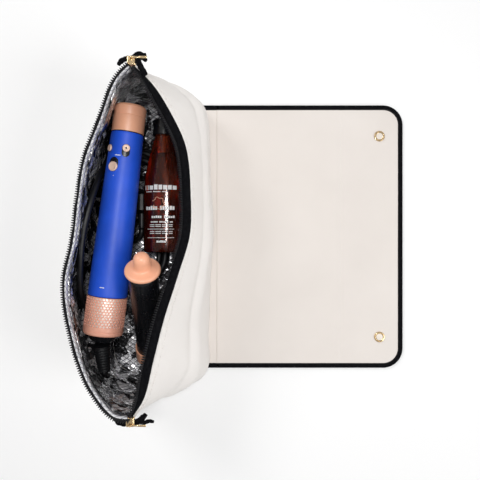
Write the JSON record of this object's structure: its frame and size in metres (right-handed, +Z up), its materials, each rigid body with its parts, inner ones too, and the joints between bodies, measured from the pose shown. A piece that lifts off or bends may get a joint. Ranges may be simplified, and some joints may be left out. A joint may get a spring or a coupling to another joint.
{
  "type": "hot-air styler set in a travel pouch",
  "caption": "Zipped heat-proof travel pouch, standing open with its mat flap laid flat, holding a hot-air styler, curling attachments, a pump bottle and a coiled lead.",
  "frame": {"origin": "middle of the pouch's base, on the ground", "axes": "+Z up out of the pouch's mouth; +Y along the pouch, towards the styler's head; +X towards the flap laid on the ground"},
  "size_m": [0.4093, 0.396, 0.159],
  "materials": {
    "cream_fabric": "matt woven polyester over foam",
    "foil_lining": "crumpled aluminised heat-proof foil",
    "stiffener": "matt",
    "black_binding": "ribbed grosgrain tape",
    "zip_tape": "woven tape",
    "zip_teeth": "satin moulded teeth",
    "gold_metal": "polished pale gold",
    "blue_shell": "satin blue",
    "copper": "satin copper",
    "black_plastic": "satin black",
    "black_rubber": "matt black",
    "steel": "brushed",
    "filter_foam": "fine mesh",
    "circuit": "solder resist",
    "amber_bottle": "clear amber gloss",
    "clear_tube": "clear"
  },
  "bodies": {
    "pouch": {"front_panel": "cream_fabric", "back_panel": "cream_fabric", "base_panel": "cream_fabric", "base_board": "stiffener", "front_lining": "foil_lining", "back_lining": "foil_lining", "base_lining": "foil_lining", "flap_root": "cream_fabric", "zip_tape_front": "zip_tape", "zip_teeth_front": "zip_teeth", "zip_tape_back": "zip_tape", "zip_teeth_back": "zip_teeth", "zip_slider_top": "gold_metal", "zip_slider_bottom": "gold_metal", "zip_tail_top": "zip_tape", "zip_tail_bottom": "zip_tape", "snap_socket_top": "gold_metal", "snap_socket_bottom": "gold_metal", "cord_lead": "black_rubber", "cord_hank": "black_rubber", "cord_tie": "black_binding", "plug": "black_plastic"},
    "flap_lower": {"flap_lower": "cream_fabric", "binding_bottom": "black_binding", "binding_top": "black_binding"},
    "flap_upper": {"flap_upper": "cream_fabric", "binding_end": "black_binding", "snap_cap_top": "gold_metal", "snap_cap_bottom": "gold_metal"},
    "zip_pull_top": {"zip_pull_top": "gold_metal"},
    "zip_pull_bottom": {"zip_pull_bottom": "gold_metal"},
    "styler": {"handle_shell": "blue_shell", "head_sleeve": "copper", "cable_gland": "black_plastic", "strain_relief": "black_rubber", "inner_filter": "filter_foam", "motor_mount": "black_rubber", "motor_housing": "steel", "stator": "steel", "circuit_board": "circuit", "heater_core": "steel", "outlet_grille": "black_plastic"},
    "filter_cage": {"filter_cage": "copper", "cage_end_ring": "black_plastic"},
    "impeller": {"impeller": "steel"},
    "power_slider": {"power_slider": "copper"},
    "temperature_slider": {"temperature_slider": "copper"},
    "cool_shot_button": {"cool_shot_button": "copper"},
    "curling_barrel": {"barrel_tube": "black_plastic", "barrel_collar": "copper", "cool_tip": "copper"},
    "spare_attachment": {"spare_barrel": "black_plastic", "spare_collar": "copper"},
    "bottle": {"bottle_body": "amber_bottle", "pump_collar": "black_plastic", "dip_tube": "clear_tube"},
    "pump_actuator": {"pump_actuator": "black_plastic"}
  },
  "joints": [
    {"name": "flap_fold", "type": "hinge", "parent": "pouch", "child": "flap_lower", "pos_m": [0.076, 0.0045, 0.0033], "axis": [0, 1, 0], "range_deg": [-88, 0]},
    {"name": "flap_over", "type": "hinge", "parent": "flap_lower", "child": "flap_upper", "pos_m": [0.24, 0.0045, 0.0033], "axis": [0, 1, 0], "range_deg": [-90, 0]},
    {"name": "zip_pull_top_swing", "type": "hinge", "parent": "pouch", "child": "zip_pull_top", "pos_m": [-0.0032, 0.1888, 0.15315], "axis": [0, -1, 0], "range_deg": [0, 90]},
    {"name": "zip_pull_bottom_swing", "type": "hinge", "parent": "pouch", "child": "zip_pull_bottom", "pos_m": [-0.0042, -0.1918, 0.15315], "axis": [0, -1, 0], "range_deg": [0, 90]},
    {"name": "styler_lift", "type": "slide", "parent": "pouch", "child": "styler", "axis": [0.1955, -0.0782, 0.9776], "range_m": [0, 0.034]},
    {"name": "filter_cage_pull", "type": "slide", "parent": "styler", "child": "filter_cage", "axis": [-0.1227, -0.9924, 0], "range_m": [0, 0.008]},
    {"name": "impeller_spin", "type": "hinge", "parent": "styler", "child": "impeller", "pos_m": [-0.0518, -0.1086, 0.088], "axis": [0.1227, 0.9924, 0], "continuous": true},
    {"name": "power_slide", "type": "slide", "parent": "styler", "child": "power_slider", "axis": [-0.1227, -0.9924, 0], "range_m": [0, 0.0055]},
    {"name": "temperature_slide", "type": "slide", "parent": "styler", "child": "temperature_slider", "axis": [0.1227, 0.9924, 0], "range_m": [0, 0.005]},
    {"name": "cool_shot_press", "type": "slide", "parent": "styler", "child": "cool_shot_button", "axis": [0.7713, -0.0954, -0.6293], "range_m": [0, 0.0012], "stiffness_N_per_m": 600},
    {"name": "barrel_draw", "type": "slide", "parent": "pouch", "child": "curling_barrel", "axis": [0.0487, 0.7531, 0.6561], "range_m": [0, 0.13]},
    {"name": "spare_draw", "type": "slide", "parent": "pouch", "child": "spare_attachment", "axis": [0, -1, 0], "range_m": [0, 0.07]},
    {"name": "bottle_lift", "type": "slide", "parent": "pouch", "child": "bottle", "axis": [0.1482, -0.0494, 0.9877], "range_m": [0, 0.044]},
    {"name": "pump_press", "type": "slide", "parent": "bottle", "child": "pump_actuator", "axis": [0, -1, 0], "range_m": [0, 0.005], "stiffness_N_per_m": 500}
  ]
}
